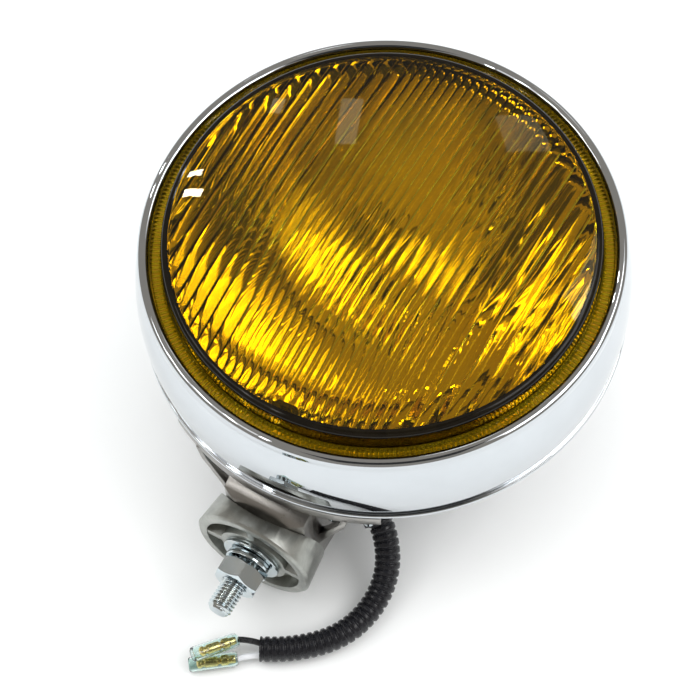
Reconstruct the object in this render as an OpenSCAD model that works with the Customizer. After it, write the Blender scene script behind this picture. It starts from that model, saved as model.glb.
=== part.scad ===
// Round fog light, 180 mm class, lying on its back with the lens up.
// Z is the lens axis, with z = 0 on the flat back. In use +Y is up and the stud points down, along -Y.

/* [Lamp] */
// Outer radius of the chrome rim
rim_r = 92.3; // [92:0.1:92.6]
// Height of the rim's crest above the flat back
rim_z = 106.9; // [106.5:0.1:107.5]
// Widest radius of the barrel band
band_r = 94.8; // [94.4:0.1:95.2]
// Height of the rolled rear edge of the band
edge_z = 65.3; // [65.1:0.1:65.5]
// Radius of the flat back
back_r = 40; // [34:1:42]
// Wall thickness of the pressed shells
sheet_t = 1.2; // [0.8:0.1:1.3]

/* [Lens] */
// Radius of the glass wall outside the flutes
lens_r = 82.8; // [82:0.1:83.2]
// Height of the dome above the shoulder
dome_rise = 9.6; // [6:0.2:12]
// Glass thickness
glass_t = 4.5; // [3.5:0.1:5]

/* [Reflector and bulb] */
// Focal length of the mirror
focus = 26; // [25:0.5:27]
// Radius of the bulb's glass
bulb_r = 5; // [4:0.5:6]

/* [Foot] */
// Height of the foot's axis above the flat back
foot_z = 26.8; // [26:0.1:28]
// Distance of the foot's mounting face from the lens axis
face_y = 105.5; // [105:0.1:106.5]
// Radius of the foot at its mounting face
foot_r = 24.8; // [24:0.1:25.2]
// Radius of the saddle, about an axis parallel to the lens axis
saddle_r = 35; // [34.8:0.1:35.4]
// Radius of the hub around the bolt
hub_r = 14.2; // [13:0.1:14.8]
// Thickness of the foot's four spokes
spoke_t = 3; // [2:0.5:4]

/* [Bolt] */
// Radius of the mounting bolt
bolt_r = 5; // [5:0.1:5]
// Length of bolt beyond the foot's mounting face
bolt_free = 26.5; // [26:0.5:30]
// Size across the flats of the nut and the bolt's head
nut_af = 17; // [16:0.5:17]

/* [Harness] */
// Outer diameter of the corrugated conduit
conduit_d = 10; // [9:0.5:10]
// Diameter of each wire
wire_d = 2.4; // [2:0.1:2.6]
// Diameter of each connector sleeve
sleeve_d = 6; // [5.4:0.1:6]
// Length of each connector sleeve
sleeve_l = 19; // [17:0.5:20]

/* [Hidden] */
$fn = 96;

// Front rim: a half-round bead that turns down into a skirt
bead_r = 2.3;
bead_c = rim_r - bead_r;
bead_z = rim_z - bead_r;
rim_t = 0.9;
skirt_z = 102.2;
// Lens: flange below the rim's lip, wall, rounded shoulder and dome
flange_z = 101.2;
flange_t = 2.2;
flange_r = 89.2;
shoulder_r = 2.4;
shoulder_z = 110.03;
dome_tilt = 76.6;
dome_edge = lens_r - shoulder_r + shoulder_r * cos(dome_tilt);
dome_base = shoulder_z + shoulder_r * sin(dome_tilt);
dome_r = (dome_edge * dome_edge + dome_rise * dome_rise) / (2 * dome_rise);
dome_c = dome_base + dome_rise - dome_r;
wall_t = 1.2;
wall_top = 110.4;
// Black ring that closes the gap between the glass wall and the fluted face
shield_t = 1.1;
shield_gap = 0.15;
// Lug that locates the ring near six o'clock, an arch that stands in from it
lug_turn = -87.3;
lug_in = 74.7;
lug_w = 10.8;
lug_t = 2;
lug_z = [104, 107.5];
// Band: an arc between the seat and the rolled edge
band_mid = 83;
band_arc = 66.6;
band_top = 102;
band_low = 66.4;
seat_z = 98.8;
seat_r = 84;
collar_r = 91.2;
lip_r = 1.1;
lip_c = band_r - 1.9;
// Rear shell: a bowl whose radius grows as a power of its height
shell_z = 64;
shell_r = 86;
bowl_power = 0.62;
joint_r = 91.5;
// Reflector
mirror_z = 99.8;
mirror_r = 77.5;
mirror_hole = 11.5;
apex_z = mirror_z - mirror_r * mirror_r / (4 * focus);
// Bracket: a ring sector under the joint, a hollow pad with a curved face, and two gussets
plate_t = 4.8;
plate_z = shell_z - sheet_t - plate_t;
plate_in = 85;
plate_out = 93.3;
plate_half = 28.5;
saddle_y = -(face_y - 6.5) + saddle_r;
pad_gap = 0.3;
pad_w = 35;
pad_wall = 3.2;
pad_z = 5;
pad_top = 52;
pad_round = 11;
neck_y = 88;
gusset_y = -88;
gusset_t = 4;
lean_room = 5;
screw_ring = 87.4;
screw_angles = [-25.2, -16.3, 16.3, 25.2];
screw_r = 2.2;
screw_head_r = 3.9;
screw_nut_r = 4;
screw_low = 47.5;
// Foot and fasteners, measured outwards from the mounting face
foot_h = 17.5;
foot_top_r = 22.8;
rim_wall = 4.2;
floor_t = 2.8;
hub_drop = 0.5;
washer_r = 12;
washer_t = 2.2;
spring_out = 9.05;
spring_in = 5.3;
spring_t = 2.5;
spring_h = 4.4;
nut_t = 8;
// Turn of the nut about the bolt at rest
nut_rest = 17;
flat_out = -hub_drop + washer_t;
spring_end = flat_out + spring_h;
nut_gap = 0.05;
head_t = 6.4;
head_y = 90;
// Harness: the conduit's route from the grommet to its open end, then one wire to each sleeve
exit_angle = 22;
exit_r = 66;
exit_z = 26;
exit_dir = [0.83, -0.5, -0.25];
grommet_l = 12;
grommet_r = 8;
conduit_route = [[31.5, -65.5, 24.4], [34.2, -67.2, 23.5], [37, -69.3, 22], [39.6, -71.8, 19.8],
                 [42, -74.8, 17], [44, -78.4, 13.8], [45.4, -82.8, 10.6], [46, -88, 7.8], [45.8, -93.8, 6],
                 [44.8, -99.8, 5.2], [43, -105.6, 5.1], [40.2, -111, 5.1], [36.6, -115.8, 5.1],
                 [32.2, -120.2, 5.1], [27.2, -124.2, 5.1], [22, -127.6, 5.1], [16.6, -130.5, 5.1]];
black_route = [[15.6, -128.6, 6], [13.4, -129.2, 6.2], [11.2, -129.9, 6.2], [9, -130.7, 6.1], [7, -131.7, 6]];
white_route = [[17.5, -132.3, 4.3], [15.6, -133.6, 4.1], [13.8, -134.8, 3.8], [12, -136.1, 3.5],
               [10.4, -137.5, 3.2]];
upper_dir = [-10.7, -14.8, 4];
lower_dir = [-15.9, -12.1, 0];
sleeve_t = 0.7;
// Inner wires: from the spade and from the holder to the grommet
feed_route = [[0, 0, 28], [0.2, -0.5, 26.8], [1.4, -3.6, 23.6], [5, -13, 20.4], [9.5, -26, 18.4],
              [14, -39, 19.4], [17.6, -48.6, 22.6], [20.3, -55.6, 25.4], [21.6, -58.7, 26.2]];
earth_route = [[13.5, -9, 38.3], [14.8, -10.4, 35.2], [16, -13.2, 31], [17.4, -20, 26.4], [19, -31, 22.6],
               [20.8, -42.5, 22], [23, -51, 23.6], [24.6, -55.6, 25.2], [25.3, -57.4, 25.8]];

function unit(v) = v / norm(v);
function arc(cx, cy, r, from, to, n) =
    [for (i = [0 : n]) let (a = from + (to - from) * i / n) [cx + r * cos(a), cy + r * sin(a)]];
function bowl(z, grow) = back_r + (shell_r - back_r) * pow(z / shell_z, bowl_power) + grow;
function dish(r) = apex_z + r * r / (4 * focus);
function dome(r, t) = dome_c + sqrt(pow(dome_r - t, 2) - r * r);
function tangent(p, i) = unit(p[min(i + 1, len(p) - 1)] - p[max(i - 1, 0)]);
function ring(p, i, r, n) =
    let (t = tangent(p, i), side = unit(cross(t, [0, 0, 1])), rise = cross(side, t))
    [for (k = [0 : n - 1]) p[i] + r * (cos(360 * k / n) * side + sin(360 * k / n) * rise)];

// A closed tube of n sides along a list of points
module sweep(p, d, n) {
    m = len(p);
    points = [for (i = [0 : m - 1]) each ring(p, i, d / 2, n)];
    walls = [for (i = [0 : m - 2]) for (k = [0 : n - 1])
        let (a = i * n + k, b = i * n + (k + 1) % n) each [[a, b, b + n], [a, b + n, a + n]]];
    polyhedron(concat(points, [p[0], p[m - 1]]),
        concat(walls,
            [for (k = [0 : n - 1]) [m * n, (k + 1) % n, k]],
            [for (k = [0 : n - 1]) [m * n + 1, (m - 1) * n + k, (m - 1) * n + (k + 1) % n]]));
}

// Places local z along a direction, starting at a point
module along(start, dir) {
    u = unit(dir);
    translate(start) rotate([0, acos(u[2]), atan2(u[1], u[0])]) children();
}

// Places local z outwards along the foot's axis, from its mounting face
module on_foot() {
    translate([0, -face_y, foot_z]) rotate([90, 0, 0]) children();
}

module tube(r_out, r_in, z0, z1) {
    difference() {
        translate([0, 0, z0]) cylinder(r = r_out, h = z1 - z0);
        translate([0, 0, z0 - 1]) cylinder(r = r_in, h = z1 - z0 + 2);
    }
}

module wedge(half, r, z0, z1) {
    translate([0, 0, z0]) linear_extrude(z1 - z0)
        polygon([[0, 0], [r * sin(-half), -r * cos(half)], [0, -r * 1.2], [r * sin(half), -r * cos(half)]]);
}

module at_screws() {
    for (a = screw_angles) translate([screw_ring * sin(a), -screw_ring * cos(a), 0]) children();
}

module front_rim() {
    color("gainsboro") rotate_extrude() {
        polygon(concat(
            arc(bead_c, bead_z, bead_r, 0, 180, 16),
            [[bead_c - bead_r, flange_z + flange_t + 0.1],
             [bead_c - bead_r + rim_t, flange_z + flange_t + 0.1]],
            arc(bead_c, bead_z, bead_r - rim_t, 180, 0, 12),
            [[rim_r - rim_t, skirt_z], [rim_r, skirt_z]]));
    }
}

module housing_band() {
    low_a = asin((band_low - band_mid) / band_arc);
    high_a = asin((band_top - band_mid) / band_arc);
    seat_a = asin((seat_z - sheet_t - band_mid) / (band_arc - sheet_t));
    c = band_r - band_arc;
    collar_z = flange_z + flange_t - 0.4;
    joint_z = shell_z + sheet_t;
    color("lightsteelblue") difference() {
        rotate_extrude() {
            polygon(concat(
                arc(c, band_mid, band_arc, low_a, high_a, 20),
                [[collar_r, band_top], [collar_r, collar_z], [collar_r - sheet_t, collar_z],
                 [collar_r - sheet_t, seat_z], [seat_r, seat_z], [seat_r, seat_z - sheet_t]],
                arc(c, band_mid, band_arc - sheet_t, seat_a, low_a, 16)));
            polygon(concat(
                arc(lip_c, edge_z + 0.2, lip_r, -75, 75, 10),
                [[lip_c - 1.3, joint_z + 1.8], [lip_c - 1.3, joint_z], [shell_r, joint_z],
                 [shell_r, shell_z]]));
        }
        at_screws() translate([0, 0, shell_z - 5]) cylinder(r = screw_r + 0.2, h = 10);
    }
}

module rear_shell() {
    color("silver") difference() {
        rotate_extrude() {
            heights = [0, 0.4, 1.4, 3.5, 7, 12, 18, 25, 33, 42, 52, shell_z - sheet_t];
            n = len(heights) - 1;
            polygon(concat(
                [[0, 0]],
                [for (z = heights) [bowl(z, 0), z]],
                [[joint_r, shell_z - sheet_t], [joint_r, shell_z], [bowl(shell_z, -sheet_t), shell_z]],
                [for (i = [n - 1 : -1 : 2]) [bowl(heights[i], -sheet_t), heights[i] + sheet_t / 2]],
                [[bowl(0, 0), sheet_t], [0, sheet_t]]));
        }
        at_screws() translate([0, 0, shell_z - 5]) cylinder(r = screw_r + 0.2, h = 10);
        rotate([0, 0, exit_angle]) translate([0, -exit_r + 20, exit_z]) rotate([90, 0, 0])
            cylinder(r = grommet_r + 0.2, h = 40);
    }
}

module lens() {
    color("goldenrod", 0.6) rotate_extrude() {
        wall_in = lens_r - wall_t;
        face_in = wall_in - shield_t - 3 * shield_gap;
        polygon(concat(
            [for (i = [0 : 10]) let (r = dome_edge * i / 10) [r, dome(r, 0)]],
            arc(lens_r - shoulder_r, shoulder_z, shoulder_r, dome_tilt - 12, 0, 6),
            [[lens_r, flange_z + flange_t + 0.8], [lens_r + 0.6, flange_z + flange_t],
             [flange_r, flange_z + flange_t], [flange_r, flange_z], [wall_in, flange_z],
             [wall_in, wall_top], [face_in, wall_top]],
            [for (i = [10 : -1 : 0]) let (r = face_in * i / 10) [r, dome(r, glass_t)]]));
    }
}

module shield_ring() {
    wall_in = lens_r - wall_t - shield_gap;
    ring_in = wall_in - shield_t;
    color("black") {
        tube(wall_in, ring_in, flange_z + 0.1, wall_top - shield_gap);
        rotate([0, 0, lug_turn]) translate([0, 0, lug_z[0]]) linear_extrude(lug_z[1] - lug_z[0]) difference() {
            translate([lug_in, -lug_w / 2]) square([ring_in + shield_t / 2 - lug_in, lug_w]);
            translate([lug_in + lug_t, lug_t - lug_w / 2]) square([shield_t + ring_in - lug_in, lug_w - 2 * lug_t]);
        }
    }
}

module lens_gasket() {
    color("black") tube(lens_r + 1.1, lens_r - 3.7, mirror_z, flange_z);
}

module lens_clips() {
    color("dimgray") for (a = [45 : 90 : 315]) rotate([0, 0, a]) intersection() {
        tube(collar_r - 0.1, flange_r - 0.3, flange_z + flange_t + 0.1, flange_z + flange_t + 0.9);
        wedge(3.5, 120, seat_z, rim_z);
    }
}

module reflector() {
    color("whitesmoke") rotate_extrude() {
        radii = [for (i = [0 : 14]) mirror_hole + (mirror_r - mirror_hole) * i / 14];
        polygon(concat(
            [for (r = radii) [r, dish(r)]],
            [[lens_r + 1.4, mirror_z], [lens_r + 1.4, flange_z - 0.2], [flange_r, flange_z - 0.2],
             [flange_r, seat_z], [mirror_r + 1, seat_z]],
            [for (i = [14 : -1 : 0]) [radii[i], dish(radii[i]) - sheet_t]]));
    }
}

module bulb_holder() {
    color("silver") {
        tube(17, 9.3, 39, 41.8);
        tube(mirror_hole - 0.2, 9.3, 41.8, 45);
    }
}

module bulb_base() {
    color("gold") union() {
        translate([0, 0, 36]) cylinder(r = 9, h = 10);
        translate([-3.15, -0.4, 28]) cube([6.3, 0.8, 8.5]);
    }
}

module bulb_glass() {
    color("white", 0.6) union() {
        translate([0, 0, 46]) cylinder(r = bulb_r, h = 24);
        translate([0, 0, 70]) sphere(r = bulb_r);
    }
}

module bulb_clip() {
    color("gray") union() {
        tube(15.5, 6, 35, 36);
        for (s = [-1, 1]) translate([s * 14.4 - 1, -2, 35.5]) cube([2, 4, 3.5]);
    }
}

module feed_wire() {
    color("black") sweep(feed_route, wire_d, 8);
}

module earth_wire() {
    color("white") sweep(earth_route, wire_d, 8);
}

module cable_grommet() {
    out = [sin(exit_angle), -cos(exit_angle), 0];
    start = exit_r * out + [0, 0, exit_z];
    color("black") union() {
        along(start - 5 * out, out) cylinder(r = grommet_r, h = 9.4);
        along(start, exit_dir) cylinder(r = grommet_r - 1.4, h = grommet_l);
    }
}

// The bracket's pad: a block with a face curved about the saddle's axis, drawn inset by a wall for its hollow
module pad_block(inset) {
    joint = plate_z + 2 - inset * 2;
    intersection() {
        translate([0, saddle_y, 0]) cylinder(r = saddle_r - pad_gap - inset, h = plate_z + plate_t);
        translate([pad_w / 2 - inset, 0, 0]) rotate([90, 0, -90]) linear_extrude(pad_w - 2 * inset)
            polygon(concat(
                [[face_y, pad_z + inset], [20, pad_z + inset], [20, joint], [neck_y - inset, joint]],
                arc(neck_y, pad_top - pad_round, pad_round - inset, 90, 0, 6),
                [[face_y, pad_top - pad_round]]));
    }
}

module gusset() {
    translate([0, gusset_y + gusset_t, 0]) rotate([90, 0, 0]) linear_extrude(gusset_t) difference() {
        polygon([[15, 20], [18, 22], [20.5, 28], [24.3, 37], [31.5, 51.5], [33, plate_z + 1],
                 [15, plate_z + 1]]);
        polygon([[19.5, plate_z], [19.5, 33.5], [21.3, 36.5], [29, 52], [30.5, plate_z]]);
    }
}

module bracket() {
    color("darkgray") difference() {
        union() {
            intersection() {
                tube(plate_out, plate_in, plate_z, plate_z + plate_t);
                wedge(plate_half, 120, plate_z - 1, shell_z);
            }
            difference() {
                pad_block(0);
                pad_block(pad_wall);
            }
            gusset();
            mirror([1, 0, 0]) gusset();
        }
        // Space of the bowl, with a small gap
        rotate_extrude() {
            polygon(concat(
                [[0, -1]],
                [for (z = [0 : 8 : plate_z + 8]) [bowl(max(z, 0.2), 0.6), z - (z == 0 ? 1 : 0)]],
                [[0, plate_z + 8]]));
        }
        at_screws() translate([0, 0, screw_low - 1]) cylinder(r = screw_r + 0.2, h = 20);
        // Slot that the bolt slides along
        on_foot() {
            for (s = [-1, 1]) translate([s * lean_room, 0, -face_y + 80]) cylinder(r = bolt_r + 0.3, h = 25);
            translate([-lean_room, -bolt_r - 0.3, -face_y + 80]) cube([2 * lean_room, 2 * bolt_r + 0.6, 25]);
        }
    }
}

module bracket_screws() {
    color("gainsboro") at_screws() {
        translate([0, 0, screw_low]) cylinder(r = screw_r, h = shell_z + sheet_t - screw_low + 1);
        translate([0, 0, shell_z + sheet_t]) cylinder(r = screw_head_r, h = 2.6);
    }
}

module bracket_nuts() {
    color("gainsboro") at_screws() difference() {
        translate([0, 0, plate_z - 4]) cylinder(r = screw_nut_r, h = 4, $fn = 6);
        translate([0, 0, plate_z - 5]) cylinder(r = screw_r + nut_gap, h = 6);
    }
}

module bolt_cradle() {
    color("silver") difference() {
        intersection() {
            translate([0, saddle_y, 0]) cylinder(r = saddle_r - pad_gap - pad_wall - 0.3, h = 80);
            translate([-9.5, -face_y, foot_z - 9.5]) cube([19, face_y - head_y, 19]);
        }
        on_foot() translate([0, 0, -30]) cylinder(r = bolt_r + 0.2, h = 40);
    }
}

// The bolt ends in the mounting stud, whose free length starts at a shallow relief at the nut's outer face
module clamp_bolt() {
    head = head_y - face_y;
    relief = spring_end + nut_t - 0.6;
    color("gainsboro") on_foot() {
        translate([0, 0, head]) mirror([0, 0, 1]) cylinder(r = nut_af / 2 / cos(30), h = head_t, $fn = 6);
        translate([0, 0, head - 1]) cylinder(r = bolt_r, h = relief - head + 1);
        translate([0, 0, relief - 0.5]) cylinder(r = bolt_r - 0.3, h = 2);
        translate([0, 0, relief + 0.8]) cylinder(r = bolt_r, h = bolt_free - relief - 1.8);
        translate([0, 0, bolt_free - 1]) cylinder(r1 = bolt_r, r2 = bolt_r - 1, h = 1);
    }
}

module foot() {
    color("darkgray") difference() {
        on_foot() rotate_extrude()
            polygon([[0, -foot_h], [foot_top_r, -foot_h], [foot_r, -1], [foot_r - 1, 0], [0, 0]]);
        translate([0, saddle_y, -10]) cylinder(r = saddle_r, h = 80);
        // Four pockets between the hub, the spokes and the outer wall, with a floor that follows the saddle
        difference() {
            on_foot() difference() {
                tube(foot_r - rim_wall, hub_r, -foot_h, 1);
                for (a = [0, 90]) rotate([0, 0, a])
                    translate([-foot_r, -spoke_t / 2, -foot_h - 1]) cube([2 * foot_r, spoke_t, foot_h + 3]);
            }
            translate([0, saddle_y, -10]) cylinder(r = saddle_r + floor_t, h = 80);
        }
        on_foot() translate([0, 0, -hub_drop]) cylinder(r = foot_r - rim_wall, h = 2);
        on_foot() translate([0, 0, -30]) cylinder(r = bolt_r + 0.2, h = 40);
    }
}

module flat_washer() {
    color("gainsboro") on_foot() tube(washer_r, bolt_r + 0.05, -hub_drop, flat_out);
}

// A split ring whose section climbs by one turn's lead
module spring_washer() {
    n = 32;
    climb = spring_h - spring_t;
    span = 346;
    start = (360 - span) / 2;
    points = [for (i = [0 : n]) let (a = start + span * i / n, z = flat_out + climb * i / n)
        for (q = [[spring_in, z], [spring_out, z], [spring_out, z + spring_t], [spring_in, z + spring_t]])
            [q[0] * cos(a), q[0] * sin(a), q[1]]];
    walls = [for (i = [0 : n - 1]) for (k = [0 : 3]) let (a = i * 4 + k, b = i * 4 + (k + 1) % 4)
        each [[a, b, b + 4], [a, b + 4, a + 4]]];
    color("gainsboro") on_foot()
        polyhedron(points, concat([[3, 2, 1, 0]], walls, [[n * 4, n * 4 + 1, n * 4 + 2, n * 4 + 3]]));
}

module hex_nut() {
    color("lightsteelblue") on_foot() difference() {
        translate([0, 0, spring_end]) rotate([0, 0, nut_rest]) cylinder(r = nut_af / 2 / cos(30), h = nut_t, $fn = 6);
        translate([0, 0, spring_end - 1]) cylinder(r = bolt_r + nut_gap, h = nut_t + 2);
    }
}

module harness_conduit() {
    color("black") sweep(conduit_route, conduit_d, 12);
}

module wire_black() {
    color("black") sweep(black_route, wire_d, 8);
}

module wire_white() {
    color("white") sweep(white_route, wire_d, 8);
}

module sleeve(start, dir) {
    color("paleturquoise", 0.6) along(start, dir) tube(sleeve_d / 2, sleeve_d / 2 - sleeve_t, 0, sleeve_l);
}

module terminal(start, dir) {
    color("gold") along(start, dir) union() {
        cylinder(d = wire_d + 0.8, h = 7);
        translate([0, 0, 3]) cylinder(r = sleeve_d / 2 - sleeve_t, h = 3);
        translate([0, 0, 6.5]) cylinder(d = 3.6, h = 7.5);
        translate([0, 0, 14]) sphere(d = 4);
    }
}

module sleeve_upper() {
    sleeve(black_route[4], upper_dir);
}

module sleeve_lower() {
    sleeve(white_route[4], lower_dir);
}

module terminal_upper() {
    terminal(black_route[4], upper_dir);
}

module terminal_lower() {
    terminal(white_route[4], lower_dir);
}

front_rim();
housing_band();
rear_shell();
lens();
shield_ring();
lens_gasket();
lens_clips();
reflector();
bulb_holder();
bulb_base();
bulb_glass();
bulb_clip();
feed_wire();
earth_wire();
cable_grommet();
bracket();
bracket_screws();
bracket_nuts();
bolt_cradle();
clamp_bolt();
foot();
flat_washer();
spring_washer();
hex_nut();
harness_conduit();
wire_black();
wire_white();
sleeve_upper();
sleeve_lower();
terminal_upper();
terminal_lower();
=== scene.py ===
"""Round amber fog light on a white table. Meshes are built in millimetres, and S turns them into metres."""
import math

import bmesh
import bpy
import numpy as np
from mathutils import Matrix, Vector


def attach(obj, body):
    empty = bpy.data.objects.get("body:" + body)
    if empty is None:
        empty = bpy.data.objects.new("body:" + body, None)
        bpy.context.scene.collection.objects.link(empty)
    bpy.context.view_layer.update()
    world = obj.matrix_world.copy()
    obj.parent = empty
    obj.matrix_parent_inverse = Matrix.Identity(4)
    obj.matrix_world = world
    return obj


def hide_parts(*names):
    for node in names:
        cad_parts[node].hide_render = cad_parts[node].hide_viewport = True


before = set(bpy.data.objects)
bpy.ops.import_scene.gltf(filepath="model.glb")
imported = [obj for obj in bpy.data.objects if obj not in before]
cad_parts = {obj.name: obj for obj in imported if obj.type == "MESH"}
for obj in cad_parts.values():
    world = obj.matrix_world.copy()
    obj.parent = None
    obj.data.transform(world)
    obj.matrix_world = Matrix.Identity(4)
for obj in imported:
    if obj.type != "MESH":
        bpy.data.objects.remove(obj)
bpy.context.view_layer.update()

S = 0.001
HEAD, FOOT, WASHERS, NUT = "head", "foot", "washers", "nut"

# ---------------------------------------------------------------- camera
AZ, EL, ROLL = (math.radians(a) for a in (33.989, 62.353, 4.665))
DISTANCE = 1.1
TARGET = Vector((-0.00184, -0.02433, 0.060))
back = Vector((math.sin(AZ) * math.cos(EL), -math.cos(AZ) * math.cos(EL), math.sin(EL)))
right = Vector((math.cos(AZ), math.sin(AZ), 0))
up = back.cross(right)
roll_right = right * math.cos(ROLL) - up * math.sin(ROLL)
roll_up = up * math.cos(ROLL) + right * math.sin(ROLL)
camera_data = bpy.data.cameras.new("camera")
camera_data.sensor_width = 36
camera_data.lens = 146.54
camera_data.clip_end = 50
camera = bpy.data.objects.new("camera", camera_data)
bpy.context.scene.collection.objects.link(camera)
camera.matrix_world = Matrix((
    (roll_right.x, roll_up.x, back.x, (TARGET + back * DISTANCE).x),
    (roll_right.y, roll_up.y, back.y, (TARGET + back * DISTANCE).y),
    (roll_right.z, roll_up.z, back.z, (TARGET + back * DISTANCE).z),
    (0, 0, 0, 1)))
bpy.context.scene.camera = camera


# ---------------------------------------------------------------- materials
class Nodes:
    """A material's node tree, with short calls for the nodes used here."""

    def __init__(self, name):
        self.material = bpy.data.materials.new(name)
        self.material.use_nodes = True
        self.tree = self.material.node_tree
        self.shader = self.tree.nodes["Principled BSDF"]
        self.position = self.tree.nodes.new("ShaderNodeTexCoord").outputs["Object"]

    def set(self, **values):
        for key, value in values.items():
            self.shader.inputs[key.replace("_", " ")].default_value = value
        return self

    def link(self, a, b):
        self.tree.links.new(a, b)

    def noise(self, scale, detail, roughness, distortion=0.0):
        node = self.tree.nodes.new("ShaderNodeTexNoise")
        node.inputs["Scale"].default_value = scale
        node.inputs["Detail"].default_value = detail
        node.inputs["Roughness"].default_value = roughness
        node.inputs["Distortion"].default_value = distortion
        self.link(self.position, node.inputs["Vector"])
        return node.outputs["Fac"]

    def ramp(self, fac, *stops):
        node = self.tree.nodes.new("ShaderNodeValToRGB")
        while len(node.color_ramp.elements) < len(stops):
            node.color_ramp.elements.new(0.5)
        for element, (place, colour) in zip(node.color_ramp.elements, stops):
            element.position = place
            element.color = (*colour, 1) if len(colour) == 3 else colour
        self.link(fac, node.inputs["Fac"])
        return node.outputs["Color"]

    def span(self, fac, low, high, start=0.0, end=1.0):
        node = self.tree.nodes.new("ShaderNodeMapRange")
        node.inputs["From Min"].default_value, node.inputs["From Max"].default_value = start, end
        node.inputs["To Min"].default_value, node.inputs["To Max"].default_value = low, high
        self.link(fac, node.inputs["Value"])
        return node.outputs["Result"]

    def edges(self):
        return self.tree.nodes.new("ShaderNodeNewGeometry").outputs["Pointiness"]

    def colour(self, source):
        self.link(source, self.shader.inputs["Base Color"])
        return self

    def roughness(self, source):
        self.link(source, self.shader.inputs["Roughness"])
        return self

    def bump(self, height, strength, distance):
        node = self.tree.nodes.new("ShaderNodeBump")
        node.inputs["Strength"].default_value = strength
        node.inputs["Distance"].default_value = distance
        self.link(height, node.inputs["Height"])
        self.link(node.outputs["Normal"], self.shader.inputs["Normal"])
        return self


def chrome(name, tint, rough, grime):
    m = Nodes(name).set(Metallic=1.0)
    haze = m.noise(60, 3, 0.6)
    m.colour(m.ramp(haze, (0.3, tint), (0.75, tuple(c * (1 - grime) for c in tint))))
    m.roughness(m.span(m.noise(140, 5, 0.65), rough, rough + 0.05, 0.45, 0.85))
    m.bump(m.noise(45, 1, 0.4), 0.05, 0.0004)
    return m.material


CHROME = chrome("chrome", (0.59, 0.62, 0.65), 0.012, 0.05)
SHELL = chrome("shell_chrome", (0.58, 0.60, 0.63), 0.06, 0.12)
MIRROR = chrome("mirror", (0.93, 0.92, 0.88), 0.02, 0.04)


def metal(name, colours, rough, rough_span, grain, bump, distance, wear):
    m = Nodes(name).set(Metallic=1.0)
    patches = m.noise(grain * 0.08, 4, 0.6, distortion=0.4)
    base = m.ramp(patches, (0.3, colours[0]), (0.52, colours[1]), (0.75, colours[2]))
    mix = m.tree.nodes.new("ShaderNodeMixRGB")
    m.link(m.span(m.edges(), 0, wear, 0.51, 0.58), mix.inputs["Fac"])
    m.link(base, mix.inputs["Color1"])
    mix.inputs["Color2"].default_value = (*[min(1, c * 1.25) for c in colours[1]], 1)
    m.colour(mix.outputs["Color"])
    m.roughness(m.span(m.noise(grain * 0.4, 5, 0.7), rough, rough + rough_span, 0.3, 0.75))
    m.bump(m.noise(grain, 3, 0.65), bump, distance)
    return m.material


ALUMINIUM = metal("cast_aluminium", ((0.31, 0.318, 0.30), (0.39, 0.40, 0.375), (0.47, 0.478, 0.45)),
                  0.30, 0.16, 2600, 0.35, 0.00008, 0.5)
ZINC = metal("zinc_steel", ((0.48, 0.55, 0.57), (0.54, 0.60, 0.63), (0.60, 0.60, 0.54)),
             0.08, 0.09, 1800, 0.12, 0.00004, 0.5)
SPRING = metal("spring_steel", ((0.42, 0.43, 0.44), (0.52, 0.53, 0.54), (0.6, 0.6, 0.6)),
               0.22, 0.15, 1500, 0.1, 0.00004, 0.4)
# painted shade: a darker copy of the cast aluminium, standing for the shade the bracket lies in under the
# lamp's overhang
SHADED_CASTING = metal("casting_painted_shade", ((0.23, 0.225, 0.21), (0.31, 0.30, 0.285), (0.40, 0.39, 0.37)),
                0.26, 0.16, 2600, 0.35, 0.00008, 0.6)
BRASS = metal("brass", ((0.68, 0.40, 0.10), (0.82, 0.56, 0.20), (0.84, 0.68, 0.38)),
              0.2, 0.14, 900, 0.06, 0.00003, 0.4)


def plastic(name, dark, light, rough, rough_span, grain, bump, distance, ior=1.5):
    m = Nodes(name).set(IOR=ior)
    m.colour(m.ramp(m.noise(grain * 0.15, 4, 0.6), (0.3, dark), (0.7, light)))
    m.roughness(m.span(m.noise(grain * 0.5, 4, 0.6), rough, rough + rough_span, 0.3, 0.7))
    m.bump(m.noise(grain, 3, 0.6), bump, distance)
    return m.material


RUBBER = plastic("rubber", (0.012, 0.012, 0.013), (0.022, 0.022, 0.023), 0.5, 0.15, 1500, 0.2, 0.00006)
CONDUIT = plastic("conduit_plastic", (0.006, 0.006, 0.008), (0.012, 0.012, 0.015),
                  0.20, 0.12, 1800, 0.12, 0.00004, ior=1.42)
BLACK_WIRE = plastic("wire_black", (0.01, 0.01, 0.011), (0.02, 0.02, 0.022), 0.22, 0.12, 1500, 0.1, 0.00003)
WHITE_WIRE = plastic("wire_white", (0.66, 0.67, 0.70), (0.78, 0.79, 0.82), 0.25, 0.12, 1500, 0.1, 0.00003)
GLOSS_BLACK = plastic("lens_surround", (0.006, 0.006, 0.006), (0.012, 0.012, 0.012),
                      0.06, 0.06, 800, 0.05, 0.00002)
# painted shade: black for the dark look of the glass shoulder, which the black ring behind the glass gives it
SHOULDER_SHADE = plastic("shoulder_painted_shade", (0.004, 0.003, 0.002), (0.009, 0.007, 0.004),
                     0.05, 0.05, 800, 0.05, 0.00002, ior=1.28)


def clear(name, dark, light, rough, ior, grain, bump, sheen=(1, 1, 1), clarity=1.0):
    m = Nodes(name).set(Transmission_Weight=clarity, IOR=ior, Specular_Tint=(*sheen, 1))
    m.colour(m.ramp(m.noise(grain * 0.2, 2, 0.5), (0.3, dark), (0.7, light)))
    m.roughness(m.span(m.noise(grain * 0.6, 3, 0.5), rough, rough + 0.02, 0.4, 0.8))
    m.bump(m.noise(grain, 1, 0.4), bump, 0.0001)
    return m.material


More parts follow.
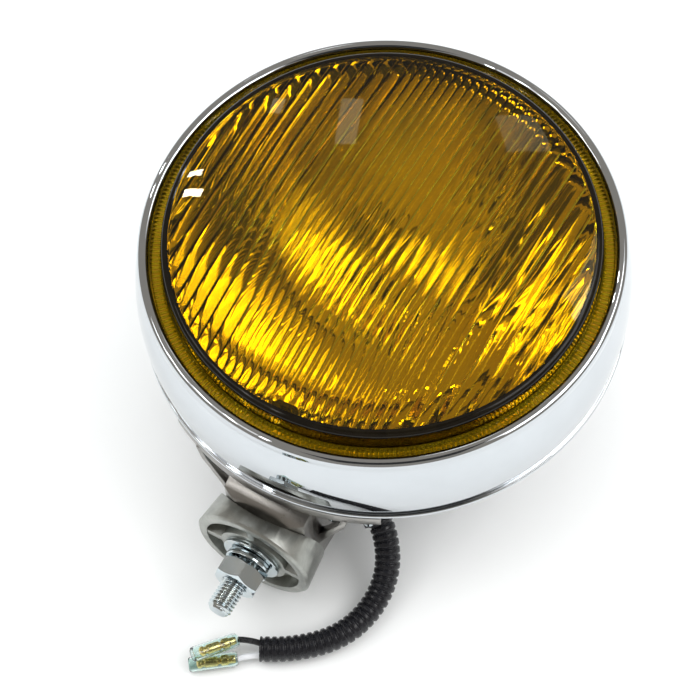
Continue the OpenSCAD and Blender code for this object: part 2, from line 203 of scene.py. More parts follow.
AMBER_SHEEN = (0.95, 0.85, 0.55)
AMBER = clear("amber_glass", (0.96, 0.66, 0.008), (0.98, 0.73, 0.014), 0.0, 1.5, 140, 0.03, AMBER_SHEEN)
AMBER_EDGE = clear("amber_edge", (0.90, 0.64, 0.02), (0.97, 0.75, 0.03), 0.01, 1.5, 400, 0.03, AMBER_SHEEN,
                   clarity=0.93)
GLASS = clear("clear_glass", (0.95, 0.96, 0.97), (0.99, 0.99, 1.0), 0.0, 1.46, 300, 0.02)
VINYL = clear("sleeve_vinyl", (0.74, 0.93, 0.89), (0.86, 0.97, 0.95), 0.05, 1.45, 500, 0.12)


# ---------------------------------------------------------------- mesh helpers
def piece(name, verts, faces, material, body, slot, sharp=35, replaces=()):
    mesh = bpy.data.meshes.new(name)
    mesh.from_pydata([tuple(float(c) * S for c in v) for v in verts], [],
                     [tuple(int(i) for i in f) for f in faces])
    mesh.validate()
    bm = bmesh.new()
    bm.from_mesh(mesh)
    bmesh.ops.remove_doubles(bm, verts=bm.verts, dist=1e-7)
    bmesh.ops.dissolve_degenerate(bm, edges=bm.edges, dist=1e-8)
    bmesh.ops.recalc_face_normals(bm, faces=bm.faces)
    bm.to_mesh(mesh)
    bm.free()
    mesh.shade_smooth()
    mesh.set_sharp_from_angle(angle=math.radians(sharp))
    mesh.materials.append(material)
    obj = bpy.data.objects.new(name, mesh)
    bpy.context.scene.collection.objects.link(obj)
    if body:
        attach(obj, body)
        if replaces:
            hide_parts(*replaces)
    return obj


def grid_faces(rows, cols, wrap_rows=False, wrap_cols=False):
    faces = []
    for i in range(rows if wrap_rows else rows - 1):
        for j in range(cols if wrap_cols else cols - 1):
            a, b = i * cols + j, i * cols + (j + 1) % cols
            c, d = ((i + 1) % rows) * cols + (j + 1) % cols, ((i + 1) % rows) * cols + j
            faces.append((a, b, c, d))
    return faces


def fillet(points, radii, steps=4):
    """A closed outline with its corners rounded. radii is one number or one for each corner."""
    n = len(points)
    if isinstance(radii, (int, float)):
        radii = [radii] * n
    out = []
    for i in range(n):
        p, a, b = (np.array(points[k % n], float) for k in (i, i - 1, i + 1))
        u, v = a - p, b - p
        lu, lv = np.linalg.norm(u), np.linalg.norm(v)
        if radii[i] <= 0 or lu < 1e-9 or lv < 1e-9:
            out.append(tuple(p))
            continue
        u, v = u / lu, v / lv
        half = math.acos(max(-1, min(1, float(u @ v)))) / 2
        if half > math.radians(88) or half < 0.01:
            out.append(tuple(p))
            continue
        cut = min(radii[i] / math.tan(half), 0.49 * lu, 0.49 * lv)
        r = cut * math.tan(half)
        c = p + (u + v) / np.linalg.norm(u + v) * (r / math.sin(half))
        s, e = p + u * cut - c, p + v * cut - c
        turn = math.atan2(s[0] * e[1] - s[1] * e[0], float(s @ e))
        for k in range(steps + 1):
            t = turn * k / steps
            out.append((c[0] + s[0] * math.cos(t) - s[1] * math.sin(t),
                        c[1] + s[0] * math.sin(t) + s[1] * math.cos(t)))
    return out


def arc(cx, cy, r, start, end, n):
    return [(cx + r * math.cos(math.radians(start + (end - start) * i / n)),
             cy + r * math.sin(math.radians(start + (end - start) * i / n))) for i in range(n + 1)]


def revolved(outline, segments):
    """Points and faces of a closed outline of (radius, z) turned about Z."""
    verts = []
    for k in range(segments):
        a = 2 * math.pi * k / segments
        verts += [(r * math.cos(a), r * math.sin(a), z) for r, z in outline]
    return verts, grid_faces(segments, len(outline), True, True)


def on_foot(verts):
    """From the foot's own frame, with z outwards from its mounting face, to the lamp's."""
    return [(x, -z - FACE_Y, y + FOOT_Z) for x, y, z in verts]


def smooth_line(points, step):
    """A natural cubic through the points, resampled at an even step."""
    p = np.array(points, float)
    t = np.r_[0, np.cumsum(np.linalg.norm(np.diff(p, axis=0), axis=1))]
    n = len(t)
    h = np.diff(t)
    a = np.eye(n)
    b = np.zeros((n, 3))
    for i in range(1, n - 1):
        a[i, i - 1:i + 2] = h[i - 1], 2 * (h[i - 1] + h[i]), h[i]
        b[i] = 6 * ((p[i + 1] - p[i]) / h[i] - (p[i] - p[i - 1]) / h[i - 1])
    m = np.linalg.solve(a, b)

    def at(x):
        i = np.clip(np.searchsorted(t, x) - 1, 0, n - 2)
        u, w, d = (t[i + 1] - x)[:, None], (x - t[i])[:, None], h[i][:, None]
        return ((m[i] * u ** 3 + m[i + 1] * w ** 3) / (6 * d) + (p[i] / d - m[i] * d / 6) * u +
                (p[i + 1] / d - m[i + 1] * d / 6) * w)

    fine = at(np.linspace(0, t[-1], 2000))
    length = np.r_[0, np.cumsum(np.linalg.norm(np.diff(fine, axis=0), axis=1))]
    count = max(2, int(round(length[-1] / step)) + 1)
    want = np.linspace(0, length[-1], count)
    return np.stack([np.interp(want, length, fine[:, k]) for k in range(3)], 1), length[-1]


def frames(line):
    """Tangent and two sides at each point of a line, carried along without twist."""
    t = np.gradient(line, axis=0)
    t /= np.linalg.norm(t, axis=1)[:, None]
    side = np.cross(t[0], (0, 0, 1))
    side /= np.linalg.norm(side)
    out = []
    for k in range(len(line)):
        side = side - (side @ t[k]) * t[k]
        side /= np.linalg.norm(side)
        out.append((t[k], side, np.cross(side, t[k])))
    return out


def swept(line, sections):
    """A skin over sections, one list of (side, rise) points for each point of the line."""
    verts = []
    for p, (t, side, rise), section in zip(line, frames(line), sections):
        verts += [tuple(p + side * a + rise * b) for a, b in section]
    n = len(sections[0])
    faces = grid_faces(len(line), n, False, True)
    faces += [tuple(range(n))[::-1], tuple(range((len(line) - 1) * n, len(line) * n))]
    return verts, faces


# ---------------------------------------------------------------- sizes shared with the CAD part
FACE_Y = 105.5
FOOT_Z = 26.8
BAND_R, BAND_ARC, BAND_MID = 94.8, 66.6, 83.0
RIM_R, RIM_Z, BEAD = 92.3, 106.9, 2.3
conduit_route = [[31.5, -65.5, 24.4], [34.2, -67.2, 23.5], [37, -69.3, 22], [39.6, -71.8, 19.8],
                 [42, -74.8, 17], [44, -78.4, 13.8], [45.4, -82.8, 10.6], [46, -88, 7.8],
                 [45.8, -93.8, 6], [44.8, -99.8, 5.2], [43, -105.6, 5.1], [40.2, -111, 5.1],
                 [36.6, -115.8, 5.1], [32.2, -120.2, 5.1], [27.2, -124.2, 5.1], [22, -127.6, 5.1],
                 [16.6, -130.5, 5.1]]
black_route = [[15.6, -128.6, 6], [13.4, -129.2, 6.2], [11.2, -129.9, 6.2], [9, -130.7, 6.1], [7, -131.7, 6]]
white_route = [[17.5, -132.3, 4.3], [15.6, -133.6, 4.1], [13.8, -134.8, 3.8], [12, -136.1, 3.5],
               [10.4, -137.5, 3.2]]
UPPER_DIR = np.array([-10.7, -14.8, 4.0])
LOWER_DIR = np.array([-15.9, -12.1, 0.0])

# ---------------------------------------------------------------- cords
CONDUIT_PITCH = 2.9
line, conduit_length = smooth_line(conduit_route, CONDUIT_PITCH / 10)
distance = np.linspace(0, conduit_length, len(line))
SLIT = 10.0
sections = []
for d in distance:
    phase = (d / CONDUIT_PITCH) % 1.0
    crest = 1 / (1 + math.exp(-(0.35 - abs(phase - 0.5)) * 34))
    outer, inner = 4.25 + 0.73 * crest, 3.5 + 0.7 * crest
    angles = np.radians(np.linspace(SLIT / 2, 360 - SLIT / 2, 41) - 60)
    sections.append([(outer * math.cos(a), outer * math.sin(a)) for a in angles] +
                    [(inner * math.cos(a), inner * math.sin(a)) for a in angles[::-1]])
conduit = piece("conduit", *swept(line, sections), CONDUIT, HEAD, "conduit_plastic", 50, ["harness_conduit"])


end = np.array(conduit_route[-1], float)
HIDDEN_WIRE = 26
MOUTH_GAP = 2.5


def wire(name, route, material, node):
    """A wire that runs inside the conduit's last stretch and then out along its own route."""
    offset_end = np.array(route[0]) - end
    all_frames = frames(line)
    _, side, rise = all_frames[-1]
    a, b = float(offset_end @ side), float(offset_end @ rise)
    picks = np.nonzero(distance > conduit_length - HIDDEN_WIRE)[0][::12]
    inner = [line[k] + all_frames[k][1] * a + all_frames[k][2] * b
             for k in picks if distance[k] < conduit_length - MOUTH_GAP]
    path, length = smooth_line(inner + [np.array(p, float) for p in route], 0.8)
    r = 1.2
    n = 20
    circle = [(r * math.cos(2 * math.pi * k / n), r * math.sin(2 * math.pi * k / n)) for k in range(n)]
    obj = piece(name, *swept(path, [circle] * len(path)), material, HEAD, node, 50, [node])
    return obj, path, length


black, black_path, black_length = wire("black_lead", black_route, BLACK_WIRE, "wire_black")
white, white_path, white_length = wire("white_lead", white_route, WHITE_WIRE, "wire_white")


def along(verts, start, direction):
    """Places local z along a direction from a start point."""
    z = direction / np.linalg.norm(direction)
    x = np.cross([0, 0, 1], z)
    x /= np.linalg.norm(x)
    y = np.cross(z, x)
    return [tuple(np.array(start, float) + x * v[0] + y * v[1] + z * v[2]) for v in verts]


sleeve_outline = fillet([(1.75, 0.0), (2.55, 0.0), (2.95, 1.6), (2.98, 17.8), (2.7, 19.0), (2.2, 19.0),
                         (2.28, 17.6), (2.28, 2.0)],
                        [0.2, 0.3, 1.0, 0.8, 0.3, 0.2, 0.6, 0.6], 3)
terminal_outline = fillet([(0.0, 1.0), (1.45, 1.0), (1.62, 1.4), (1.62, 3.4), (2.05, 3.9), (2.15, 6.2),
                           (1.3, 6.8), (1.3, 7.4), (1.9, 7.9), (1.95, 12.6), (1.45, 13.1), (1.45, 13.8),
                           (1.95, 14.4), (1.9, 15.4), (1.0, 16.0), (0.0, 16.0)],
                          [0, .1, .1, .2, .2, .3, .1, .1, .3, .3, .1, .1, .3, .4, .3, 0], 3)
for name, start, direction in (("upper", black_route[-1], UPPER_DIR), ("lower", white_route[-1], LOWER_DIR)):
    v, f = revolved(sleeve_outline, 48)
    sleeve = piece(f"{name}_sleeve", along(v, start, direction), f, VINYL, HEAD, "sleeve_vinyl", 40,
                   [f"sleeve_{name}"])
    v, f = revolved(terminal_outline, 48)
    terminal = piece(f"{name}_terminal", along(v, start, direction), f, BRASS, HEAD, "brass", 40,
                     [f"terminal_{name}"])

# ---------------------------------------------------------------- lens
LENS_R, WALL_R = 82.8, 80.1
DOME_R, DOME_TOP = 346.15, 121.965
INNER_DROP = 4.2
DEPTH = 0.17
SHOULDER, SHOULDER_Z, TILT = 2.4, 110.03, 76.6


def dome(r, drop=0.0):
    return DOME_TOP - DOME_R + np.sqrt((DOME_R - drop) ** 2 - r * r)


def flute_columns():
    """x of each column of the inner face and its depth of flute."""
    bounds = [-WALL_R]
    while bounds[-1] < WALL_R:
        x = bounds[-1]
        pitch = 5.3 if x < -30 else (3.5 if x < 4 else (4.1 if x < 40 else 7.6))
        bounds.append(x + pitch)
    bounds[-1] = WALL_R
    xs, depth = [], []
    for a, b in zip(bounds[:-1], bounds[1:]):
        p = b - a
        ripples = 0 if p < 4 else (2 if p < 6 else 4)
        for k in range(16):
            t = k / 16
            xs.append(a + p * t)
            ripple = 0.005 * p * bool(ripples) * (1 - math.cos(2 * math.pi * ripples * t))
            depth.append(DEPTH * p * (1 - (2 * t - 1) ** 2) + ripple)
    xs.append(WALL_R)
    depth.append(0.0)
    xs, depth = np.array(xs), np.array(depth)
    extra = WALL_R * np.cos(np.radians(np.arange(1.2, 40, 1.2)))
    extra = np.r_[extra, -extra]
    all_x = np.sort(np.r_[xs, extra])
    keep = np.r_[True, np.diff(all_x) > 0.02]
    all_x = all_x[keep]
    return all_x, np.interp(all_x, xs, depth)


xs, depths = flute_columns()
ROWS = 56
s_values = np.sin(np.linspace(-math.pi / 2, math.pi / 2, ROWS))
verts = []
columns = []
for x, d in zip(xs, depths):
    half = math.sqrt(max(WALL_R ** 2 - x * x, 0))
    column = []
    for s in s_values:
        y = s * half
        r = math.hypot(x, y)
        fade = min(1.0, max(0.0, (WALL_R - r) / 1.2))
        fade = fade * fade * (3 - 2 * fade)
        fade *= min(1.0, max(0.0, (math.hypot(x - 3.7, y + 78.5) - 6.0) / 1.5))
        column.append(len(verts))
        verts.append((x, y, float(dome(r, INNER_DROP)) - d * fade))
    columns.append(column)
faces = []
for i in range(len(columns) - 1):
    for j in range(ROWS - 1):
        faces.append((columns[i][j], columns[i][j + 1], columns[i + 1][j + 1], columns[i + 1][j]))
# boundary loop of the inner face, then rings down the inner wall, under it and up the outer face
loop = [c[-1] for c in columns] + [c[0] for c in columns[::-1]][1:-1]
angles = [math.atan2(verts[i][1], verts[i][0]) for i in loop]
shoulder = arc(LENS_R - SHOULDER, SHOULDER_Z, SHOULDER, 0, TILT, 8)
outer_rings = [(WALL_R, 110.4), (81.6, 110.4), (81.6, 101.3), (LENS_R - 0.1, 101.3), (LENS_R, 101.5),
               (LENS_R, 104.5)] + shoulder
rim_in = LENS_R - SHOULDER + SHOULDER * math.cos(math.radians(TILT))
outer_rings += [(rim_in * (1 - k / 14), None) for k in range(1, 14)]
previous = loop
for r, z in outer_rings:
    zz = float(dome(r)) if z is None else z
    ring = []
    for a in angles:
        ring.append(len(verts))
        verts.append((r * math.cos(a), r * math.sin(a), zz))
    for k in range(len(loop)):
        faces.append((previous[k], previous[(k + 1) % len(loop)], ring[(k + 1) % len(loop)], ring[k]))
    previous = ring
centre = len(verts)
verts.append((0, 0, float(dome(0.0))))
for k in range(len(loop)):
    faces.append((previous[k], previous[(k + 1) % len(loop)], centre))
piece("lens_dome", verts, faces, AMBER, HEAD, "amber_glass", 24, ["lens"])

BAND_SKIN = 0.05


def shoulder_arc(grow, angles):
    r = SHOULDER + grow
    return [(LENS_R - SHOULDER + r * math.cos(math.radians(a)), SHOULDER_Z + r * math.sin(math.radians(a)))
            for a in angles]


# dark band along the glass shoulder, a thin skin on both sides of the glass surface: painted shade for the
# dark look the shoulder takes from the black ring seen through the glass
band = shoulder_arc(BAND_SKIN, np.linspace(8, TILT, 9))
band += [(r, float(dome(r)) + BAND_SKIN) for r in (80.5, 80.1)]
band += [(r, float(dome(r)) - BAND_SKIN) for r in (80.1, 80.5)]
band += shoulder_arc(-BAND_SKIN, np.linspace(TILT, 8, 9))
piece("shoulder_band", *revolved(band, 256), SHOULDER_SHADE, HEAD, "rubber", 30)

# black ribbed ring inside the glass wall
RIBS = 300
ring_verts = []
for k in range(RIBS * 4):
    a = 2 * math.pi * k / (RIBS * 4)
    lift = 0.2 * math.cos(2 * math.pi * k / 4)
    outline = [(80.35, 101.4), (81.1 + lift, 101.4), (81.1 + lift, 109.9), (81.0, 110.2), (80.6, 110.2),
               (80.35, 110.0)]
    ring_verts += [(r * math.cos(a), r * math.sin(a), z) for r, z in outline]
piece("shield", ring_verts, grid_faces(RIBS * 4, 6, True, True), GLOSS_BLACK, HEAD, "rubber", 30,
      ["shield_ring"])

# bright lining inside the ring
lining = [(79.75, 101.35), (80.2, 101.35), (80.2, 107.2), (79.75, 107.2)]
piece("ring_lining", *revolved(lining, 256), MIRROR, HEAD, "mirror", 30)

# lug that locates the ring: an arch that stands in from it
lug = fillet([(80.7, -5.4), (76.8, -5.4), (74.7, -3.6), (74.7, 3.6), (76.8, 5.4), (80.7, 5.4), (80.7, 3.2),
              (77.6, 3.2), (76.7, 2.2), (76.7, -2.2), (77.6, -3.2), (80.7, -3.2)], 0.5, 3)
lug_verts = []
for z, inset in ((104.0, 0.0), (107.0, 0.0), (107.4, 0.25)):
    for r, w in lug:
        lug_verts.append((r + (inset if r < 76 else 0), w * (1 - inset / 6), z))
n = len(lug)
lug_faces = grid_faces(3, n, False, True) + [tuple(range(n))[::-1], tuple(range(2 * n, 3 * n))]
turn = math.radians(-87.3)
lug_verts = [(x * math.cos(turn) - y * math.sin(turn), x * math.sin(turn) + y * math.cos(turn), z)
             for x, y, z in lug_verts]
piece("ring_lug", lug_verts, lug_faces, GLOSS_BLACK, HEAD, "rubber", 30)

# toothed flange: steep-sided teeth, half of each pitch standing up and half cut down
TEETH = 300
SUB = 6
FLANGE_TOP = 103.35
TOOTH_UP, TOOTH_DOWN = 0.35, -0.75
flange_verts = []
for k in range(TEETH * SUB):
    a = 2 * math.pi * k / (TEETH * SUB)
    lift = TOOTH_UP if k % SUB < SUB // 2 else TOOTH_DOWN
    outline = [(83.1, 101.3), (83.1, 103.3), (83.5, 103.5), (84.0, FLANGE_TOP + lift),
               (87.0, FLANGE_TOP + lift), (87.4, 103.3), (89.1, 103.3), (89.1, 101.3)]
    flange_verts += [(r * math.cos(a), r * math.sin(a), z) for r, z in outline]
piece("lens_flange", flange_verts, grid_faces(TEETH * SUB, 8, True, True), AMBER_EDGE, HEAD, "amber_glass",
      30, ["lens"])

# ---------------------------------------------------------------- chrome rim, band, shell and mirror
bead_c, bead_z = RIM_R - BEAD, RIM_Z - BEAD
RIM_T = 0.9
rim_outline = (arc(bead_c, bead_z, BEAD, 0, 180, 40) +
               [(bead_c - BEAD, 103.5), (bead_c - BEAD + RIM_T, 103.5)] +
               arc(bead_c, bead_z, BEAD - RIM_T, 180, 0, 20) +
               [(RIM_R - RIM_T, 102.2), (RIM_R - 0.35, 102.2), (RIM_R, 102.5)])
piece("rim", *revolved(rim_outline, 360), CHROME, HEAD, "chrome", 40, ["front_rim"])

SHEET = 1.2
c = BAND_R - BAND_ARC
low, high = (math.degrees(math.asin((z - BAND_MID) / BAND_ARC)) for z in (66.4, 102.0))
seat = math.degrees(math.asin((97.6 - BAND_MID) / (BAND_ARC - SHEET)))
lip_c = BAND_R - 1.9
band_outline = (arc(lip_c, 65.5, 1.1, -80, 55, 16) + arc(c, BAND_MID, BAND_ARC, low, high, 60) +
                [(91.2, 102.0), (91.2, 103.0), (90.0, 103.0), (90.0, 98.8), (84, 98.8), (84, 97.6)] +
                arc(c, BAND_MID, BAND_ARC - SHEET, seat, low, 24) +
                [(91.6, 67.0), (91.6, 65.2), (86, 65.2), (86, 64.2)])
piece("band", *revolved(band_outline, 360), CHROME, HEAD, "chrome", 40, ["housing_band"])


def bowl(z):
    return 40 + 46 * (z / 64) ** 0.62


heights = [0.02, 0.2, 0.6, 1.4, 3, 5, 8, 12, 16, 20, 25, 30, 36, 42, 48, 54, 59, 62.8]
shell_outline = ([(0, 0)] + [(bowl(z), z) for z in heights] +
                 [(91.3, 62.8), (91.5, 63.0), (91.5, 63.8), (91.3, 64.0), (84.8, 64)] +
                 [(bowl(z) - SHEET, z + 0.6) for z in heights[::-1][1:-3]] + [(38, SHEET), (0, SHEET)])
piece("back_shell", *revolved(shell_outline, 256), SHELL, HEAD, "shell_chrome", 30, ["rear_shell"])

MIRROR_R, MIRROR_Z, MIRROR_HOLE, FOCUS = 77.5, 99.8, 11.5, 26
APEX = MIRROR_Z - MIRROR_R ** 2 / (4 * FOCUS)
radii = [MIRROR_HOLE + (MIRROR_R - MIRROR_HOLE) * k / 40 for k in range(41)]
mirror_outline = ([(r, APEX + r ** 2 / (4 * FOCUS)) for r in radii] +
                  [(84.2, 99.8), (84.2, 101.0), (89.2, 101.0), (89.2, 98.8), (78.5, 98.8)] +
                  [(r, APEX + r ** 2 / (4 * FOCUS) - SHEET) for r in radii[::-1]])
piece("mirror", *revolved(mirror_outline, 256), MIRROR, HEAD, "mirror", 30, ["reflector"])

# ---------------------------------------------------------------- stud, nut and washers
PITCH = 1.5


def threaded(r_major, depth, pitch, z0, z1, chamfer, around=48, per_pitch=10):
    """A threaded rod's skin between two heights, with a chamfered far end."""
    rows = int((z1 - z0) / pitch * per_pitch) + 1
    verts = []
    for i in range(rows):
        z = z0 + (z1 - z0) * i / (rows - 1)
        for k in range(around):
            a = 2 * math.pi * k / around
            t = (z / pitch - k / around) % 1.0
            wave = min(1.0, max(0.0, (abs(t - 0.5) * 2 - 0.14) / 0.72))
            r = r_major - depth * wave
            r = min(r, r_major - 0.25 - chamfer + (z1 - z)) if z1 - z < chamfer + 0.25 else r
            verts.append((r * math.cos(a), r * math.sin(a), z))
    return verts, rows, around


verts, rows, around = threaded(4.98, 0.86, PITCH, -0.4, 26.5, 1.2)
faces = grid_faces(rows, around, False, True)
top = len(verts)
verts.append((0, 0, 26.5))
faces += [((rows - 1) * around + k, (rows - 1) * around + (k + 1) % around, top) for k in range(around)]
# the plain shank behind the thread
base = len(verts)
shank = [(4.95, -0.4), (4.95, -15.5)]
for r, z in shank:
    for k in range(around):
        a = 2 * math.pi * k / around
        verts.append((r * math.cos(a), r * math.sin(a), z))
faces += [(k, (k + 1) % around, base + (k + 1) % around, base + k) for k in range(around)]
faces += [(base + k, base + (k + 1) % around, base + around + (k + 1) % around, base + around + k)
          for k in range(around)]
piece("mounting_stud", on_foot(verts), faces, ZINC, FOOT, "zinc_steel", 30)


def hexagon(apothem, z0, z1, r_in, chamfer_r, turn=0.0, n=96):
    """A chamfered hexagon nut between two heights, with a bore, or solid when r_in is 0."""
    verts = []
    slope = math.tan(math.radians(30))
    rings = []
    for part in range(8):
        ring = []
        for k in range(n):
            a = 2 * math.pi * k / n
            edge = apothem / math.cos((a % (math.pi / 3)) - math.pi / 6)
            drop = max(0.0, edge - chamfer_r) * slope
            bore = r_in if r_in else 0.001
            r, z = [(bore, z0 + 0.6), (bore + 0.6 * bool(r_in), z0), (chamfer_r, z0), (edge, z0 + drop),
                    (edge, z1 - drop), (chamfer_r, z1), (bore + 0.6 * bool(r_in), z1), (bore, z1 - 0.6)][part]
            ring.append((r * math.cos(a + turn), r * math.sin(a + turn), z))
        rings.append(ring)
    for k in range(n):
        verts += [ring[k] for ring in rings]
    return verts, grid_faces(n, 8, True, True)


NUT_REST = math.radians(17)
v, f = hexagon(8.5, 6.1, 14.1, 5.05, 8.1, NUT_REST)
piece("mounting_nut", on_foot(v), f, ZINC, NUT, "zinc_steel", 25, ["hex_nut"])
v, f = hexagon(8.5, -21.9, -15.5, 0, 8.1)
piece("bolt_head", on_foot(v), f, ZINC, FOOT, "zinc_steel", 25, ["clamp_bolt"])

outline = fillet([(5.05, -0.5), (12, -0.5), (12, 1.7), (5.05, 1.7)], [0.2, 0.5, 0.35, 0.2], 4)
v, f = revolved(outline, 96)
piece("plain_washer", on_foot(v), f, ZINC, WASHERS, "zinc_steel", 30, ["flat_washer"])

n, span, climb = 72, 346.0, 1.9
section = fillet([(5.3, 0), (9.05, 0), (9.05, 2.5), (5.3, 2.5)], 0.35, 3)
verts = []
for i in range(n + 1):
    a = math.radians(7 + span * i / n)
    verts += [(r * math.cos(a), r * math.sin(a), 1.7 + climb * i / n + z) for r, z in section]
m = len(section)
faces = grid_faces(n + 1, m, False, True) + [tuple(range(m))[::-1], tuple(range(n * m, (n + 1) * m))]
piece("lock_washer", on_foot(verts), faces, ZINC, WASHERS, "zinc_steel", 35, ["spring_washer"])


# ---------------------------------------------------------------- cast parts: CAD shapes with rounded edges
def softened(node, name, material, body, width, segments=2, angle=28):
    """A copy of a CAD node's mesh with its sharp edges rounded, which stands for the node."""
    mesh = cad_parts[node].data.copy()
    mesh.name = name
    mesh.materials.clear()
    mesh.materials.append(material)
    bm = bmesh.new()
    bm.from_mesh(mesh)
    bmesh.ops.remove_doubles(bm, verts=bm.verts, dist=2e-6)
    bmesh.ops.dissolve_limit(bm, angle_limit=math.radians(1.5), verts=bm.verts, edges=bm.edges)
    bmesh.ops.recalc_face_normals(bm, faces=bm.faces)
    bm.to_mesh(mesh)
    bm.free()
    obj = bpy.data.objects.new(name, mesh)
    bpy.context.scene.collection.objects.link(obj)
    bevel = obj.modifiers.new("bevel", "BEVEL")
    bevel.width = width * S
    bevel.segments = segments
    bevel.limit_method = "ANGLE"
    bevel.angle_limit = math.radians(angle)
    bevel.use_clamp_overlap = True
    bevel.harden_normals = False
    mesh.shade_smooth()
    depsgraph = bpy.context.evaluated_depsgraph_get()
    final = bpy.data.meshes.new_from_object(obj.evaluated_get(depsgraph))
    obj.modifiers.clear()
    obj.data = final
    final.shade_smooth()
    final.set_sharp_from_angle(angle=math.radians(32))
    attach(obj, body)
    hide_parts(node)
    return obj


softened("foot", "cast_foot", ALUMINIUM, FOOT, 0.45)
# the bracket uses the darker cast aluminium with painted shade
softened("bracket", "cast_bracket", SHADED_CASTING, HEAD, 0.4)

# ---------------------------------------------------------------- the CAD nodes that stay
KEPT = {
    "lens_gasket": RUBBER, "lens_clips": SPRING, "bulb_holder": ZINC, "bulb_base": BRASS, "bulb_glass": GLASS,
    "bulb_clip": SPRING, "feed_wire": BLACK_WIRE, "earth_wire": WHITE_WIRE, "cable_grommet": RUBBER,
    "bracket_screws": ZINC, "bracket_nuts": ZINC, "bolt_cradle": ZINC,
}
for node, material in KEPT.items():
    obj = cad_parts[node]
    obj.data.materials.clear()
    obj.data.materials.append(material)
    for polygon in obj.data.polygons:
        polygon.material_index = 0

# ---------------------------------------------------------------- floor and light
world = bpy.data.worlds.new("world")
bpy.context.scene.world = world
world.use_nodes = True
world.node_tree.nodes["Background"].inputs["Color"].default_value = (1.0, 0.92, 0.82, 1)
world.node_tree.nodes["Background"].inputs["Strength"].default_value = 0.34


def stage_plane(name, centre, u, v, material):
    centre, u, v = (np.array(a, float) for a in (centre, u, v))
    mesh = bpy.data.meshes.new(name)
    corners = [tuple(centre - u - v), tuple(centre + u - v), tuple(centre + u + v), tuple(centre - u + v)]
    mesh.from_pydata(corners, [], [(0, 1, 2, 3)])
    mesh.materials.append(material)
    obj = bpy.data.objects.new(name, mesh)
    bpy.context.scene.collection.objects.link(obj)
    return obj


floor_nodes = Nodes("paper").set(Roughness=0.6)
floor_nodes.colour(floor_nodes.ramp(floor_nodes.noise(6, 4, 0.6), (0.3, (0.86, 0.865, 0.87)),
                                    (0.7, (0.885, 0.888, 0.89))))
floor_nodes.bump(floor_nodes.noise(900, 3, 0.6), 0.05, 0.0001)
stage_plane("floor", (0, 0, -0.0002), (4, 0, 0), (0, 4, 0), floor_nodes.material)

dark = Nodes("dark_card").set(Roughness=0.9)
dark.colour(dark.ramp(dark.noise(3, 2, 0.5), (0.3, (0.02, 0.02, 0.02)), (0.7, (0.03, 0.03, 0.03))))


def card(name, direction, distance, width, height):
    d = Vector(direction).normalized()
    side = d.cross(Vector((0, 0, 1))).normalized() if abs(d.z) < 0.99 else Vector((1, 0, 0))
    rise = side.cross(d)
    obj = stage_plane(name, d * distance, side * width / 2, rise * height / 2, dark.material)
    obj.visible_camera = False
    obj.visible_shadow = False
    obj.visible_diffuse = False
    return obj


def light(name, direction, distance, width, height, radiance, along=(1, 0, 0), colour=(1, 1, 1),
          aim=(0, 0, 0.1)):
    """A rectangle of light that faces the point aim, with its width along a direction."""
    data = bpy.data.lights.new(name, "AREA")
    data.shape = "RECTANGLE"
    data.size, data.size_y = width, height
    data.energy = radiance * math.pi * width * height
    data.color = colour
    obj = bpy.data.objects.new(name, data)
    bpy.context.scene.collection.objects.link(obj)
    z = Vector(direction).normalized()
    x = Vector(along)
    x = (x - z * x.dot(z)).normalized()
    y = z.cross(x)
    place = Vector(aim) + z * distance
    obj.matrix_world = Matrix(((x.x, y.x, z.x, place.x), (x.y, y.y, z.y, place.y), (x.z, y.z, z.z, place.z),
                               (0, 0, 0, 1)))
    obj.visible_camera = False
    return obj


card("camera_card", tuple(back), 1.3, 0.8, 0.8)
LAMP_FAR, PANEL_FAR = 1.4, 1.6
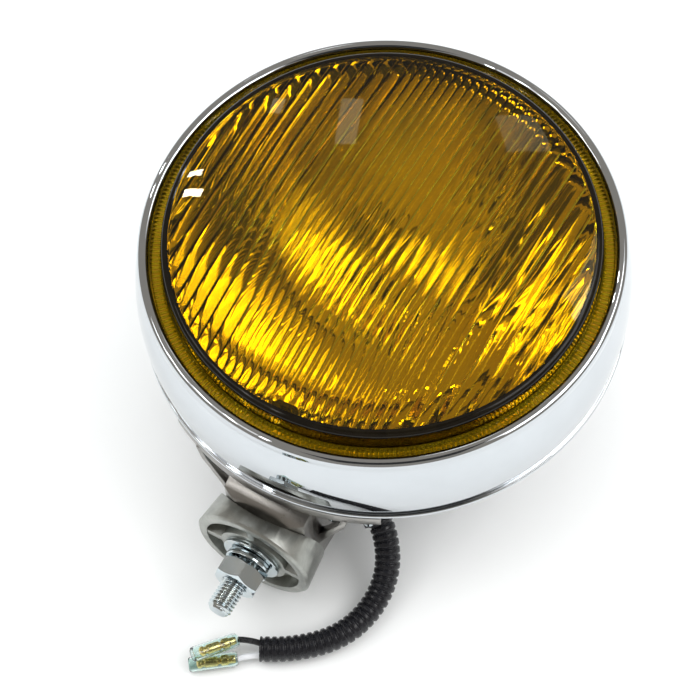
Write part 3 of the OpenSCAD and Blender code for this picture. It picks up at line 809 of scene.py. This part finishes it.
# two small lamps and three windows, each placed where the glass reflects it near its aim point
STRIP_ALONG = (0.74, 0.34, 0.57)
for name, aim, direction, width, height, radiance, along_dir in (
        ("strip_a", (-0.0749, -0.0101, 0.1134), (-0.678, 0.355, 0.643), 0.092, 0.026, 40, STRIP_ALONG),
        ("strip_b", (-0.0707, -0.0182, 0.1140), (-0.662, 0.312, 0.681), 0.095, 0.036, 40, STRIP_ALONG),
        ("window_a", (-0.0335, 0.0346, 0.1185), (-0.443, 0.600, 0.667), 0.07, 0.22, 1.9,
         (0.043, 0.023, 0.008)),
        ("window_b", (0.0255, 0.0630, 0.1151), (-0.124, 0.753, 0.647), 0.15, 0.17, 1.2,
         (0.076, 0.047, -0.04)),
        ("window_c", (-0.0620, 0.0293, 0.1149), (-0.581, 0.562, 0.589), 0.04, 0.07, 2.6,
         (0.020, 0.011, 0.010))):
    light(name, direction, LAMP_FAR, width, height, radiance, along_dir, aim=aim)
# long narrow lamps that the flutes draw out into bright lines, and three soft panels
for k, (direction, length) in enumerate((
        ((0.76, 0.12, 0.62), 0.9), ((0.66, 0.16, 0.72), 0.9), ((0.54, 0.26, 0.80), 0.8),
        ((0.42, 0.38, 0.80), 0.6), ((0.30, 0.54, 0.77), 0.35), ((-0.24, -0.52, 0.82), 0.4),
        ((-0.38, -0.44, 0.81), 0.4), ((-0.50, -0.38, 0.78), 0.4), ((-0.62, -0.32, 0.72), 0.4),
        ((-0.72, -0.26, 0.66), 0.4))):
    light(f"line_{k}", direction, LAMP_FAR, 0.06, length, 6.0)
light("panel_a", (0.64, 0.18, 0.74), PANEL_FAR, 0.80, 1.05, 1.9)
light("panel_b", (-0.50, -0.42, 0.77), PANEL_FAR, 0.80, 0.55, 0.9)
light("panel_c", (0.34, 0.56, 0.76), PANEL_FAR, 0.45, 0.40, 1.5)
# light for the table and other matt surfaces, kept out of reflections and glass
key = light("key", (-0.35, 0.35, 1.0), 1.9, 2.2, 2.2, 0.8, colour=(0.94, 0.98, 1.0))
fill_data = bpy.data.lights.new("fill", "SUN")
fill_data.energy = 2.2
fill_data.color = (0.93, 0.98, 1.0)
fill_data.angle = 3.0
fill_data.cycles.cast_shadow = False
fill = bpy.data.objects.new("fill", fill_data)
bpy.context.scene.collection.objects.link(fill)
for lamp in (key, fill):
    lamp.visible_glossy = False
    lamp.visible_transmission = False

scene = bpy.context.scene
scene.view_settings.view_transform = "Standard"
scene.view_settings.look = "None"
scene.view_settings.exposure = 0.0
